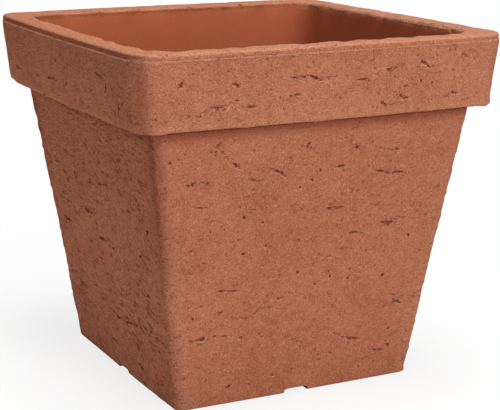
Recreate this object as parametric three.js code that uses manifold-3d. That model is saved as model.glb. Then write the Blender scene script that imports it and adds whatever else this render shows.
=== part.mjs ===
// Square planter: one moulded pot with a deep rim band, four corner feet with
// crossing drain channels between them, and a push-in plug for each drain hole.
// Millimetres, +Z up, origin in the middle of the footprint on the ground.

import * as THREE from 'three';
import { mergeVertices } from 'three/addons/utils/BufferGeometryUtils.js';
import Module from 'manifold-3d';

const wasm = await Module();
wasm.setup();

// Overall sizes
const RIM_WIDTH = 400;
const POT_HEIGHT = 358;
const BASE_WIDTH = 264;
const WALL = 10;
const FLOOR_THICKNESS = 14;

// Rim band
const RIM_HEIGHT = 71;
const RIM_TAPER = 5.3;
const RIM_OVERHANG = 21;
const RIM_CORNER = 28;
const RIM_BOW = 3;
const LIP_OUTER_ROUND = 4.5;
const LIP_INNER_ROUND = 9;
const RIM_LOWER_ROUND = 5;
const UNDER_RIM_FILLET = 3;

// Mould parting line: a thin ridge under the top edge, with the strip above it set back
const PARTING_DROP = 6.5;
const PARTING_PROUD = 0.8;
const PARTING_HEIGHT = 1.1;
const PARTING_SLOPE = 0.35;
const STRIP_SETBACK = 0.9;

// Body below the rim
const BODY_BOW = 2;
const BODY_CORNER_TOP = 6;
const BODY_CORNER_BASE = 8;
const BASE_ROUND = 3;

// Planting space
const INNER_CORNER_TOP = 28;
const INNER_CORNER_FLOOR = 22;
const FLOOR_FILLET = 10;

// Drain channels under the floor and holes through it
const CHANNEL_WIDTH = 27;
const CHANNEL_DEPTH = 5;
const CHANNEL_ROUND = 3;
const HOLE_DIAMETER = 14;
const HOLE_OFFSET = 62;

// Drain plugs
const PLUG_CLEARANCE = 0.3;
const PLUG_SEAT_GAP = 0.3;
const PLUG_TAPER = 0.5;
const PLUG_TIP_SETBACK = 1;
const FLANGE_OVERLAP = 4.5;
const FLANGE_THICKNESS = 2.6;
const FLANGE_ROUND = 0.8;
const TAB_WIDTH = 11;
const TAB_HEIGHT = 12;
const TAB_THICKNESS = 3.6;
const TAB_EYE_DIAMETER = 5;

// Facets
const SIDE_STEPS = 6;
const CORNER_STEPS = 7;
const ROUND_STEPS = 4;
const WALL_STEPS = 4;
const HOLE_STEPS = 32;
const EYE_STEPS = 16;
const CUT_MARGIN = 2;

// Values that follow from the sizes above
const rimHalf = RIM_WIDTH / 2;
const baseHalf = BASE_WIDTH / 2;
const rimUnderside = POT_HEIGHT - RIM_HEIGHT;
const bodyTopHalf = rimHalf - RIM_TAPER - RIM_OVERHANG;
const bodySlope = (bodyTopHalf - baseHalf) / rimUnderside;
const rimSlope = RIM_TAPER / RIM_HEIGHT;
const holeRadius = HOLE_DIAMETER / 2;
const QUARTER_TURN = Math.PI / 2;

const outerHalfAt = (z) => baseHalf + bodySlope * z;
const innerHalfAt = (z) => outerHalfAt(z) - WALL;
const rimHalfAt = (z) => rimHalf - rimSlope * (POT_HEIGHT - z);
const mix = (a, b, share) => a + (b - a) * share;
const bodyCornerAt = (z) => mix(BODY_CORNER_BASE, BODY_CORNER_TOP, z / rimUnderside);
const innerCornerAt = (z) => mix(
  INNER_CORNER_FLOOR, INNER_CORNER_TOP, (z - FLOOR_THICKNESS) / (POT_HEIGHT - FLOOR_THICKNESS));

// A station is one level outline of the pot: half width at mid side, height,
// corner radius and how far each side bows out between its corners
function station(half, z, corner, bow) {
  return { half, z, corner: Math.max(corner, 1), bow };
}

// Stations along a quarter round in the half-width and height plane
function roundStations(centreHalf, centreZ, radius, from, to, cornerOffset, bow) {
  const stations = [];
  for (let i = 0; i <= ROUND_STEPS; i += 1) {
    const angle = mix(from, to, i / ROUND_STEPS);
    const across = radius * Math.cos(angle);
    stations.push(station(
      centreHalf + across, centreZ + radius * Math.sin(angle), cornerOffset + across, bow));
  }
  return stations;
}

// The level outline of a station, counter-clockwise seen from above
function outline({ half, z, corner, bow }) {
  const points = [];
  const cornerHalf = half - bow;
  const straight = cornerHalf - corner;
  for (let side = 0; side < 4; side += 1) {
    const turn = side * QUARTER_TURN;
    const place = (x, y) => points.push(
      new THREE.Vector3(x, y, z).applyAxisAngle(new THREE.Vector3(0, 0, 1), turn));
    for (let i = 0; i < SIDE_STEPS; i += 1) {
      const along = mix(-1, 1, i / SIDE_STEPS);
      place(cornerHalf + bow * (1 - along * along), along * straight);
    }
    for (let i = 0; i < CORNER_STEPS; i += 1) {
      const angle = QUARTER_TURN * i / CORNER_STEPS;
      place(straight + corner * Math.cos(angle), straight + corner * Math.sin(angle));
    }
  }
  return points;
}

// A closed skin through the outlines, capped flat at its first and last one
function loftGeometry(stations) {
  const rings = stations.map(outline);
  const count = rings[0].length;
  const positions = [];
  rings.forEach((ring) => ring.forEach((p) => positions.push(p.x, p.y, p.z)));
  const firstCentre = rings.length * count;
  const lastCentre = firstCentre + 1;
  positions.push(0, 0, stations[0].z, 0, 0, stations[stations.length - 1].z);
  const indices = [];
  for (let j = 0; j < count; j += 1) {
    const next = (j + 1) % count;
    const top = (rings.length - 1) * count;
    indices.push(firstCentre, next, j);
    indices.push(lastCentre, top + j, top + next);
    for (let i = 0; i + 1 < rings.length; i += 1) {
      const low = i * count;
      const high = low + count;
      indices.push(low + j, low + next, high + next);
      indices.push(low + j, high + next, high + j);
    }
  }
  const geometry = new THREE.BufferGeometry();
  geometry.setAttribute('position', new THREE.Float32BufferAttribute(positions, 3));
  geometry.setIndex(indices);
  return geometry;
}

// Conversions between closed meshes and solids for cutting and joining
function toSolid(geometry) {
  const bare = geometry.clone();
  bare.deleteAttribute('normal');
  bare.deleteAttribute('uv');
  const merged = mergeVertices(bare, 1e-4);
  return new wasm.Manifold(new wasm.Mesh({
    numProp: 3,
    vertProperties: new Float32Array(merged.attributes.position.array),
    triVerts: new Uint32Array(merged.index.array),
  }));
}

function toGeometry(solid) {
  const mesh = solid.getMesh();
  const geometry = new THREE.BufferGeometry();
  geometry.setAttribute('position', new THREE.BufferAttribute(mesh.vertProperties, 3));
  geometry.setIndex(new THREE.BufferAttribute(mesh.triVerts, 1));
  geometry.computeVertexNormals();
  return geometry;
}

// Outer skin: base edge, sloping body, step out to the rim band
function bodyStations() {
  const stations = roundStations(
    outerHalfAt(BASE_ROUND) - BASE_ROUND, BASE_ROUND, BASE_ROUND, -QUARTER_TURN, 0,
    BODY_CORNER_BASE - BASE_ROUND, BODY_BOW);
  const filletStart = rimUnderside - UNDER_RIM_FILLET;
  for (let i = 1; i <= WALL_STEPS; i += 1) {
    const z = mix(BASE_ROUND, filletStart, i / WALL_STEPS);
    stations.push(station(outerHalfAt(z), z, bodyCornerAt(z), BODY_BOW));
  }
  for (let i = 1; i <= ROUND_STEPS; i += 1) {
    const angle = QUARTER_TURN * i / ROUND_STEPS;
    const across = UNDER_RIM_FILLET * (1 - Math.cos(angle));
    const z = filletStart + UNDER_RIM_FILLET * Math.sin(angle);
    stations.push(station(outerHalfAt(filletStart) + across, z, BODY_CORNER_TOP + across, BODY_BOW));
  }
  return stations;
}

// Rim band: rounded lower edge, tapered face, parting ridge and set-back strip
function rimStations() {
  const lowerZ = rimUnderside + RIM_LOWER_ROUND;
  const stations = roundStations(
    rimHalfAt(lowerZ) - RIM_LOWER_ROUND, lowerZ, RIM_LOWER_ROUND, -QUARTER_TURN, 0,
    RIM_CORNER - RIM_LOWER_ROUND, RIM_BOW);
  const partingZ = POT_HEIGHT - PARTING_DROP;
  const ridge = [
    [partingZ - PARTING_HEIGHT / 2 - PARTING_SLOPE, 0],
    [partingZ - PARTING_HEIGHT / 2, PARTING_PROUD],
    [partingZ + PARTING_HEIGHT / 2, PARTING_PROUD],
    [partingZ + PARTING_HEIGHT / 2 + PARTING_SLOPE, -STRIP_SETBACK],
  ];
  const bandTop = ridge[0][0];
  for (let i = 1; i < WALL_STEPS; i += 1) {
    const z = mix(lowerZ, bandTop, i / WALL_STEPS);
    stations.push(station(rimHalfAt(z), z, RIM_CORNER, RIM_BOW));
  }
  ridge.forEach(([z, proud]) => {
    stations.push(station(rimHalfAt(z) + proud, z, RIM_CORNER + proud, RIM_BOW));
  });
  return stations;
}

// Lip: rounded outer edge, flat top and rounded inner edge
function lipStations() {
  const edgeZ = POT_HEIGHT - LIP_OUTER_ROUND;
  const outer = roundStations(
    rimHalfAt(edgeZ) - STRIP_SETBACK - LIP_OUTER_ROUND, edgeZ, LIP_OUTER_ROUND, 0, QUARTER_TURN,
    RIM_CORNER - STRIP_SETBACK - LIP_OUTER_ROUND, RIM_BOW);
  const innerZ = POT_HEIGHT - LIP_INNER_ROUND;
  const inner = roundStations(
    innerHalfAt(innerZ) + LIP_INNER_ROUND, innerZ, LIP_INNER_ROUND, QUARTER_TURN, 2 * QUARTER_TURN,
    INNER_CORNER_TOP + LIP_INNER_ROUND, BODY_BOW);
  return [...outer, ...inner];
}

// Inner skin: sloping wall down to the fillet round the floor
function innerStations() {
  const stations = [];
  const filletTop = FLOOR_THICKNESS + FLOOR_FILLET;
  const wallTop = POT_HEIGHT - LIP_INNER_ROUND;
  for (let i = 1; i < WALL_STEPS; i += 1) {
    const z = mix(wallTop, filletTop, i / WALL_STEPS);
    stations.push(station(innerHalfAt(z), z, innerCornerAt(z), BODY_BOW));
  }
  const fillet = roundStations(
    innerHalfAt(filletTop) - FLOOR_FILLET, filletTop, FLOOR_FILLET, 0, -QUARTER_TURN,
    innerCornerAt(filletTop) - FLOOR_FILLET, BODY_BOW);
  return [...stations, ...fillet];
}

// A drain channel right across the base: flat roof with rounded shoulders
function channelSolid(turn) {
  const half = CHANNEL_WIDTH / 2;
  const profile = new THREE.Shape();
  profile.moveTo(-half, -CUT_MARGIN);
  profile.lineTo(half, -CUT_MARGIN);
  profile.lineTo(half, CHANNEL_DEPTH - CHANNEL_ROUND);
  profile.quadraticCurveTo(half, CHANNEL_DEPTH, half - CHANNEL_ROUND, CHANNEL_DEPTH);
  profile.lineTo(CHANNEL_ROUND - half, CHANNEL_DEPTH);
  profile.quadraticCurveTo(-half, CHANNEL_DEPTH, -half, CHANNEL_DEPTH - CHANNEL_ROUND);
  profile.closePath();
  const length = BASE_WIDTH + 2 * CUT_MARGIN;
  const geometry = new THREE.ExtrudeGeometry(
    profile, { depth: length, bevelEnabled: false, curveSegments: ROUND_STEPS });
  geometry.translate(0, 0, -length / 2);
  geometry.rotateX(QUARTER_TURN);
  geometry.rotateZ(turn);
  return toSolid(geometry);
}

// Where the four drain holes lie: one in each arm of the crossing channels
const DRAINS = [
  { name: 'right', turn: 0 },
  { name: 'back', turn: QUARTER_TURN },
  { name: 'left', turn: 2 * QUARTER_TURN },
  { name: 'front', turn: 3 * QUARTER_TURN },
];

function drainPlace(turn) {
  return new THREE.Vector3(HOLE_OFFSET * Math.cos(turn), HOLE_OFFSET * Math.sin(turn), 0);
}

function holeSolid(turn) {
  const length = FLOOR_THICKNESS + 2 * CUT_MARGIN;
  const geometry = new THREE.CylinderGeometry(holeRadius, holeRadius, length, HOLE_STEPS);
  geometry.rotateX(QUARTER_TURN);
  const place = drainPlace(turn);
  geometry.translate(place.x, place.y, FLOOR_THICKNESS / 2);
  return toSolid(geometry);
}

function potGeometry() {
  const skin = [...bodyStations(), ...rimStations(), ...lipStations(), ...innerStations()];
  let pot = toSolid(loftGeometry(skin));
  [0, QUARTER_TURN].forEach((turn) => {
    pot = pot.subtract(channelSolid(turn));
  });
  DRAINS.forEach(({ turn }) => {
    pot = pot.subtract(holeSolid(turn));
  });
  return toGeometry(pot);
}

// A drain plug standing on its flange at height zero: tapered shank below, pull tab above
function plugGeometry() {
  const shankTop = holeRadius - PLUG_CLEARANCE;
  const shankTip = shankTop - PLUG_TAPER;
  const roof = FLOOR_THICKNESS - CHANNEL_DEPTH;
  const tipZ = PLUG_TIP_SETBACK - roof - PLUG_SEAT_GAP;
  const flangeRadius = holeRadius + FLANGE_OVERLAP;
  const profile = [
    new THREE.Vector2(0, tipZ),
    new THREE.Vector2(shankTip - FLANGE_ROUND, tipZ),
    new THREE.Vector2(shankTip, tipZ + FLANGE_ROUND),
    new THREE.Vector2(shankTop, 0),
    new THREE.Vector2(flangeRadius, 0),
    new THREE.Vector2(flangeRadius, FLANGE_THICKNESS - FLANGE_ROUND),
    new THREE.Vector2(flangeRadius - FLANGE_ROUND, FLANGE_THICKNESS),
    new THREE.Vector2(0, FLANGE_THICKNESS),
  ];
  const stopper = new THREE.LatheGeometry(profile, HOLE_STEPS);
  stopper.rotateX(QUARTER_TURN);

  const tabHalf = TAB_WIDTH / 2;
  const eyeZ = FLANGE_THICKNESS + TAB_HEIGHT - tabHalf;
  const tab = new THREE.Shape();
  tab.moveTo(-tabHalf, FLANGE_THICKNESS / 2);
  tab.lineTo(tabHalf, FLANGE_THICKNESS / 2);
  tab.lineTo(tabHalf, eyeZ);
  tab.absarc(0, eyeZ, tabHalf, 0, Math.PI, false);
  tab.closePath();
  const eye = new THREE.Path();
  eye.absarc(0, eyeZ, TAB_EYE_DIAMETER / 2, 0, 2 * Math.PI, true);
  tab.holes.push(eye);
  const handle = new THREE.ExtrudeGeometry(
    tab, { depth: TAB_THICKNESS, bevelEnabled: false, curveSegments: EYE_STEPS });
  handle.translate(0, 0, -TAB_THICKNESS / 2);
  handle.rotateX(QUARTER_TURN);
  return toGeometry(toSolid(stopper).add(toSolid(handle)));
}

// Finishes
const terracotta = new THREE.MeshStandardMaterial({ color: 0xb36b4c, roughness: 0.92, metalness: 0 });
const plugRubber = new THREE.MeshStandardMaterial({ color: 0x2b2826, roughness: 0.7, metalness: 0 });

const planter = new THREE.Group();
planter.name = 'square_planter';

const potShell = new THREE.Mesh(potGeometry(), terracotta);
potShell.name = 'pot_shell';
planter.add(potShell);

DRAINS.forEach(({ name, turn }) => {
  const plug = new THREE.Mesh(plugGeometry(), plugRubber.clone());
  plug.name = `drain_plug_${name}`;
  plug.position.copy(drainPlace(turn));
  plug.position.z = FLOOR_THICKNESS + PLUG_SEAT_GAP;
  plug.rotation.z = turn;
  planter.add(plug);
});

export default planter;
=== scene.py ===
"""Looks of the square planter: a rough fired-clay pot with a deep rim band and four rubber drain plugs.

Metres, +Z up, origin in the middle of the footprint on the ground. The broad lit
side of the pot faces -Y and the shaded side faces -X.
"""

from __future__ import annotations

import logging
import math
from collections.abc import Iterator, Sequence
from contextlib import contextmanager
from dataclasses import dataclass, field
from enum import Enum
from typing import Any

import bmesh
import bpy
import numpy as np
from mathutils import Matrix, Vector

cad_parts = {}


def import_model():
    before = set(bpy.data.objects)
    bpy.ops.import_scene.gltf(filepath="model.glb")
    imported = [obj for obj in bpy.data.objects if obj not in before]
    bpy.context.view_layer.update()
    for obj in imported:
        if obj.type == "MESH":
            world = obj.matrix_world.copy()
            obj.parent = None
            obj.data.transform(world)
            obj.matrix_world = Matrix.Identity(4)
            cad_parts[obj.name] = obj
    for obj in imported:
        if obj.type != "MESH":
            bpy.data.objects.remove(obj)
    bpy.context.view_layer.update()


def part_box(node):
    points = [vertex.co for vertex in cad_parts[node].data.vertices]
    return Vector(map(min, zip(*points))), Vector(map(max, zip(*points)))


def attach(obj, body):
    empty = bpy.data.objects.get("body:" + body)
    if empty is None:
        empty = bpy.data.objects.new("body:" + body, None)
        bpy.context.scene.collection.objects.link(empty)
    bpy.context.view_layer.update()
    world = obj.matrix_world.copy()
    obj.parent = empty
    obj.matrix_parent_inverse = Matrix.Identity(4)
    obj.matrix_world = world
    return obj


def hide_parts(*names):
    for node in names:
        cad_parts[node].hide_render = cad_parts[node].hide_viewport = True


LOG = logging.getLogger("planter")
MM = 0.001
QUARTER_TURN = math.pi / 2
# The stain zone is painted shade, the wear zone holds painted highlights besides dust, and the hollow zone
# holds painted shade besides the hollows.
CLAY_ZONES = ("inside", "hollow", "wear", "coarse", "painted_shade")

Faces = bmesh.types.BMesh
Mesh = bpy.types.Mesh
Number = float | np.ndarray
Pair = tuple[float, float]
Socket = bpy.types.NodeSocket
Triple = tuple[float, float, float]


# Scene and mesh helpers


def make_object(name: str, data: Any) -> bpy.types.Object:
    """Puts a mesh, lamp or camera into the scene.

    Args:
        name: The object's name.
        data: The mesh, lamp or camera.

    Returns:
        The object.
    """
    piece = bpy.data.objects.new(name, data)
    bpy.context.scene.collection.objects.link(piece)
    return piece


def make_looker(name: str, data: Any, place: Triple, direction: Vector) -> bpy.types.Object:
    """Puts a lamp or camera into the scene so that it looks in a direction.

    Args:
        name: The object's name.
        data: The lamp or camera.
        place: Where it stands.
        direction: Where it looks.

    Returns:
        The object.
    """
    piece = make_object(name, data)
    piece.location = place
    piece.rotation_mode = "QUATERNION"
    piece.rotation_quaternion = direction.to_track_quat("-Z", "Y")
    return piece


@contextmanager
def edited(mesh: Mesh) -> Iterator[Faces]:
    """Opens a mesh for work on its faces and writes it back afterwards.

    Args:
        mesh: The mesh.

    Returns:
        The faces to work on.
    """
    work = bmesh.new()
    work.from_mesh(mesh)
    yield work
    work.to_mesh(mesh)
    work.free()


def soften(work: Faces, sharp: float) -> None:
    """Shades all faces smooth but keeps the sharp edges.

    Args:
        work: The faces.
        sharp: Edges that turn by more than this angle stay sharp.
    """
    for face in work.faces:
        face.smooth = True
    for edge in work.edges:
        edge.smooth = not edge.is_manifold or edge.calc_face_angle(0.0) < sharp


class ToolUse(Enum):
    """What a tool does to a solid."""

    JOIN = "UNION"
    CUT = "DIFFERENCE"


def apply_tool(target: bpy.types.Object, tool: bpy.types.Object, use: ToolUse) -> None:
    """Joins a tool to a solid or cuts it away, and removes the tool.

    Args:
        target: The solid, whose mesh is replaced.
        tool: The second solid.
        use: What the tool does.
    """
    modifier = target.modifiers.new("cut", "BOOLEAN")
    modifier.operation = use.value
    modifier.solver = "EXACT"
    modifier.object = tool
    graph = bpy.context.evaluated_depsgraph_get()
    made = bpy.data.meshes.new_from_object(target.evaluated_get(graph))
    target.modifiers.clear()
    target.data = made
    bpy.data.objects.remove(tool)


def smooth_step(values: Number, low: Number, high: Number) -> Number:
    """A smooth step from 0 at low to 1 at high; low may lie above high."""
    part = np.clip((values - low) / (high - low), 0, 1)
    return part * part * (3 - 2 * part)


def rise(values: Number, start: Number, limits: Pair) -> Number:
    """A smooth step from 0 to 1 between two distances from start in millimetres."""
    return smooth_step(values, start + limits[0] * MM, start + limits[1] * MM)


class LatticeNoise:
    """Smooth seeded noise over space, about -1 to 1, for moving mesh points."""

    def __init__(self, seed: int, size: int = 48) -> None:
        """Draws the random heights of the lattice."""
        self.size = size
        self.heights = np.random.default_rng(seed).uniform(-1, 1, (size, size, size))

    def at(self, points: np.ndarray, cell: float | Triple) -> np.ndarray:
        """The noise at points.

        Args:
            points: Rows of x, y, z.
            cell: Lattice spacing in millimetres, one number or one for each axis.

        Returns:
            One number for each point.
        """
        scaled = points / (np.asarray(cell) * MM) + 1000.0
        low = np.floor(scaled).astype(int)
        part = scaled - low
        part = part * part * (3 - 2 * part)
        total = np.zeros(len(points))
        for corner in np.ndindex(2, 2, 2):
            share = np.prod(np.where(corner, part, 1 - part), axis=1)
            at = (low + corner) % self.size
            total += share * self.heights[at[:, 0], at[:, 1], at[:, 2]]
        return total


# Photograph and camera


@dataclass(frozen=True)
class PhotoCamera:
    """The camera that took the photograph, as worked out from the pot's edges.

    Angles are in radians and picture measures in pixels of the 500 x 410 frame.
    """

    width: float = 500.0
    height: float = 410.0
    sensor: float = 36.0
    location: Triple = (-0.672985, -1.317604, 0.523781)
    yaw: float = math.radians(-25.825)
    pitch: float = math.radians(12.247)
    focal: float = 1434.454
    centre_x: float = 207.050
    centre_y: float = 169.314
    clip: Pair = (0.05, 100.0)

    def forward(self) -> Vector:
        """The direction in which the camera looks."""
        level = math.cos(self.pitch)
        return Vector((-math.sin(self.yaw) * level, math.cos(self.yaw) * level, -math.sin(self.pitch)))

    def ray(self, x: float, y: float) -> Vector:
        """The direction of the sight line through a picture point.

        Args:
            x: Pixels from the left edge of the picture.
            y: Pixels from its top edge.

        Returns:
            The direction, not normalised.
        """
        forward = self.forward()
        right = forward.cross(Vector((0, 0, 1))).normalized()
        up = right.cross(forward)
        return forward + right * ((x - self.centre_x) / self.focal) - up * ((y - self.centre_y) / self.focal)

    def build(self) -> None:
        """Makes the camera and gives it to the scene."""
        data = bpy.data.cameras.new("photo_camera")
        data.sensor_width = self.sensor
        data.lens = self.focal * self.sensor / self.width
        data.shift_x = (self.width / 2 - self.centre_x) / self.width
        data.shift_y = (self.centre_y - self.height / 2) / self.width
        data.clip_start, data.clip_end = self.clip
        bpy.context.scene.camera = make_looker("photo_camera", data, self.location, self.forward())


# Shader expressions


class Value:
    """A shader socket that carries a number. Operators on it add Math nodes."""

    def __init__(self, sheet: NodeSheet, socket: Socket) -> None:
        """Keeps the node tree and the socket."""
        self.sheet = sheet
        self.socket = socket

    def _math(self, operation: str, *terms: Any) -> Value:
        """A Math node on these terms."""
        node = self.sheet.node("ShaderNodeMath", dict(enumerate(terms)), operation=operation)
        return Value(self.sheet, node.outputs[0])

    def __add__(self, other: Any) -> Value:
        """self + other."""
        return self._math("ADD", self, other)

    __radd__ = __add__

    def __sub__(self, other: Any) -> Value:
        """self - other."""
        return self._math("SUBTRACT", self, other)

    def __rsub__(self, other: Any) -> Value:
        """other - self."""
        return self._math("SUBTRACT", other, self)

    def __mul__(self, other: Any) -> Value:
        """self * other."""
        return self._math("MULTIPLY", self, other)

    __rmul__ = __mul__

    def __abs__(self) -> Value:
        """The size of the value without its sign."""
        return self._math("ABSOLUTE", self)

    def most(self, other: Any) -> Value:
        """The larger of the two."""
        return self._math("MAXIMUM", self, other)

    def step(self, low: float, high: float) -> Value:
        """A smooth step from 0 at low to 1 at high; low may lie above high.

        Args:
            low: The value that gives 0.
            high: The value that gives 1.

        Returns:
            The stepped value.
        """
        limits = {"Value": self, "From Min": low, "From Max": high, "To Min": 0.0, "To Max": 1.0}
        node = self.sheet.node("ShaderNodeMapRange", limits, interpolation_type="SMOOTHSTEP")
        return Value(self.sheet, node.outputs["Result"])


class NodeSheet:
    """The node tree of a material or of the world."""

    def __init__(self, owner: Any, output: str = "ShaderNodeOutputMaterial") -> None:
        """Empties the node tree and adds its output node.

        Args:
            owner: The material or world.
            output: Blender's name of the output node's type.
        """
        owner.use_nodes = True
        self.owner = owner
        self.tree = owner.node_tree
        self.tree.nodes.clear()
        self.output = self.tree.nodes.new(output)

    def node(self, kind: str, sockets: dict[Any, Any] | None = None, **settings: Any) -> bpy.types.Node:
        """Adds one node.

        Args:
            kind: Blender's name of the node type.
            sockets: Input name or number to a value, or to what is linked to it.
            settings: Properties, set before the sockets.

        Returns:
            The node.
        """
        node = self.tree.nodes.new(kind)
        for name, setting in settings.items():
            setattr(node, name, setting)
        for key, content in (sockets or {}).items():
            if isinstance(content, Value):
                content = content.socket
            elif isinstance(content, bpy.types.Node):
                content = content.outputs[0]
            if isinstance(content, Socket):
                self.tree.links.new(content, node.inputs[key])
            else:
                node.inputs[key].default_value = content
        return node

    def place(self) -> Socket:
        """The coordinates on the object."""
        return self.node("ShaderNodeTexCoord").outputs["Object"]

    def noise(self, place: Socket, cell: float, detail: float, rough: float, flat: float = 1.0) -> Value:
        """Cloudy noise between 0 and 1.

        Args:
            place: The coordinates.
            cell: Size of its blotches, in the units of the coordinates.
            detail: Number of finer octaves.
            rough: Share of the finer octaves.
            flat: How many times the blotches are wider than high.

        Returns:
            The noise.
        """
        if flat != 1.0:
            place = self.vector("MULTIPLY", place, (1.0, 1.0, flat))
        sockets = {"Vector": place, "Scale": 1 / cell, "Detail": detail, "Roughness": rough}
        return Value(self, self.node("ShaderNodeTexNoise", sockets, noise_dimensions="3D").outputs[0])

    def vector(self, operation: str, *terms: Any) -> Socket:
        """A Vector Math node on these terms."""
        return self.node("ShaderNodeVectorMath", dict(enumerate(terms)), operation=operation).outputs[0]

    def blend(self, share: Any, first: Any, second: Any) -> Socket:
        """A mix of two colours.

        Args:
            share: How much of the second colour, as a number or a Value.
            first: A colour or a socket.
            second: A colour or a socket.

        Returns:
            The mixed colour's socket.
        """
        sockets = {0: share, 6: self.opaque(first), 7: self.opaque(second)}
        node = self.node("ShaderNodeMix", sockets, data_type="RGBA", blend_type="MIX", clamp_factor=True)
        return node.outputs[2]

    @staticmethod
    def opaque(colour: Any) -> Any:
        """A colour with its alpha added where it is plain numbers."""
        return (*colour, 1.0) if isinstance(colour, tuple) else colour

    def attribute(self, name: str) -> Value:
        """A number kept on the mesh's points."""
        node = self.node("ShaderNodeAttribute", attribute_type="GEOMETRY", attribute_name=name)
        return Value(self, node.outputs["Fac"])

    def surface(self, colour: Any, roughness: Any, specular: float, height: Value) -> bpy.types.Material:
        """Finishes a material as a surface with fine relief.

        Args:
            colour: Its colour.
            roughness: Its roughness.
            specular: Its specular level.
            height: Height of the relief in millimetres.

        Returns:
            The material.
        """
        bump = self.node("ShaderNodeBump", {"Strength": 1.0, "Distance": MM, "Height": height})
        sockets = {"Base Color": colour, "Roughness": roughness, "Specular IOR Level": specular}
        return self.finish(self.node("ShaderNodeBsdfPrincipled", {**sockets, "Normal": bump}))

    def finish(self, shader: bpy.types.Node) -> Any:
        """Links the shader to the output and gives the material or world."""
        self.tree.links.new(shader.outputs[0], self.output.inputs["Surface"])
        return self.owner


def linear(red: int, green: int, blue: int) -> Triple:
    """A screen colour as the linear light that shaders take.

    Args:
        red: Red, 0 to 255.
        green: Green, 0 to 255.
        blue: Blue, 0 to 255.

    Returns:
        The three channels, 0 to 1.
    """
    shares = (level / 255 for level in (red, green, blue))
    return tuple(s / 12.92 if s <= 0.04045 else ((s + 0.055) / 1.055) ** 2.4 for s in shares)


# Finishes


@dataclass(frozen=True)
class Terracotta:
    """Sandy fired clay, dusty outside, with darker and redder skin inside the pot, and with painted shade and
    painted highlights on its outside.

    Cells are the sizes of patterns, shares say how much of a colour a pattern
    brings, and edges are the levels between which a pattern sets in. A shake is the
    size of the blotches that push a pattern about and how far they push it. Heights
    and depths are those of the fine relief in millimetres.
    """

    dark: Triple = linear(156, 86, 59)
    # Pale dust, also used for painted highlights.
    light: Triple = linear(198, 128, 96)
    dust_and_highlight: Triple = linear(222, 164, 134)
    # Rusty clay colour, also used for painted shade.
    rust_and_shade: Triple = linear(138, 66, 42)
    # Dark crust, also used for painted shade in the hollows.
    crust_and_shade: Triple = linear(112, 44, 21)
    inner: Triple = linear(167, 88, 58)
    cloud_cell: float = 70 * MM
    mottle_cell: float = 13 * MM
    grain_cell: float = 2.4 * MM
    sand_cell: float = 1.1 * MM
    pore_cell: float = 6 * MM
    tear_cell: float = 16 * MM
    tear_patch_cell: float = 15 * MM
    streak_cell: float = 4.2 * MM
    pitted_cell: float = 26 * MM
    speck_cell: float = 1.7 * MM
    cluster_cell: float = 11 * MM
    ragged_cell: float = 1.6 * MM
    cloud_share: float = 0.6
    mottle_share: float = 0.7
    grain_share: float = 1.15
    streak_share: float = 0.9
    inner_share: float = 0.85
    wear_share: float = 0.25
    sandy_wear_share: float = 0.55
    sand_dust_share: float = 0.50
    sand_rust_share: float = 0.60
    pore_share: float = 0.6
    tear_share: float = 0.7
    pitted_share: float = 0.65
    speck_share: float = 0.75
    hollow_rust_and_shade_share: float = 0.45
    crust_and_shade_share: float = 0.22
    deep_crust_and_shade_share: float = 0.62
    coarse_speck_loss: float = 0.6
    pitted_patchiness: float = 0.45
    pressed_gain: float = 1.5
    pressed_raggedness: float = 2.9
    sand_dust_edge: Pair = (0.55, 0.70)
    sand_rust_edge: Pair = (0.44, 0.28)
    pore_edge: Pair = (0.27, 0.12)
    pore_pick_edge: Pair = (0.76, 0.90)
    tear_edge: Pair = (0.018, 0.002)
    tear_patch_edge: Pair = (0.58, 0.64)
    speck_edge: Pair = (0.36, 0.28)
    cluster_edge: Pair = (0.52, 0.64)
    pitted_edge: Pair = (0.385, 0.30)
    hollow_edge: Pair = (0.05, 0.7)
    pressed_edge: Pair = (0.48, 0.82)
    pressed_rim: Pair = (0.03, 0.20)
    mottle_height: float = 0.8
    grain_height: float = 1.3
    sand_height: float = 0.8
    streak_height: float = 2.6
    coarse_mottle_height: float = 1.6
    coarse_sand_height: float = 2.4
    pore_depth: float = 0.7
    tear_depth: float = 0.7
    speck_depth: float = 0.6
    pitted_depth: float = 0.9
    pressed_depth: float = 1.1
    inner_relief: float = 0.12
    wear_and_highlight_relief: float = 0.9
    streak_shake: Pair = (5 * MM, 1.4 * MM)
    pore_shake: Pair = (2.2 * MM, 1.6 * MM)
    tear_shake: Pair = (3.5 * MM, 3.0 * MM)
    streak_stretch: Triple = (0.40, 0.40, 1.45)
    drag_slant: float = math.radians(9)
    roughness: float = 0.93
    specular: float = 0.05

    def material(self) -> bpy.types.Material:
        """Builds the clay material."""
        sheet = ClaySheet(self)
        return sheet.surface(sheet.colour(), self.roughness, self.specular, sheet.relief())


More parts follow.
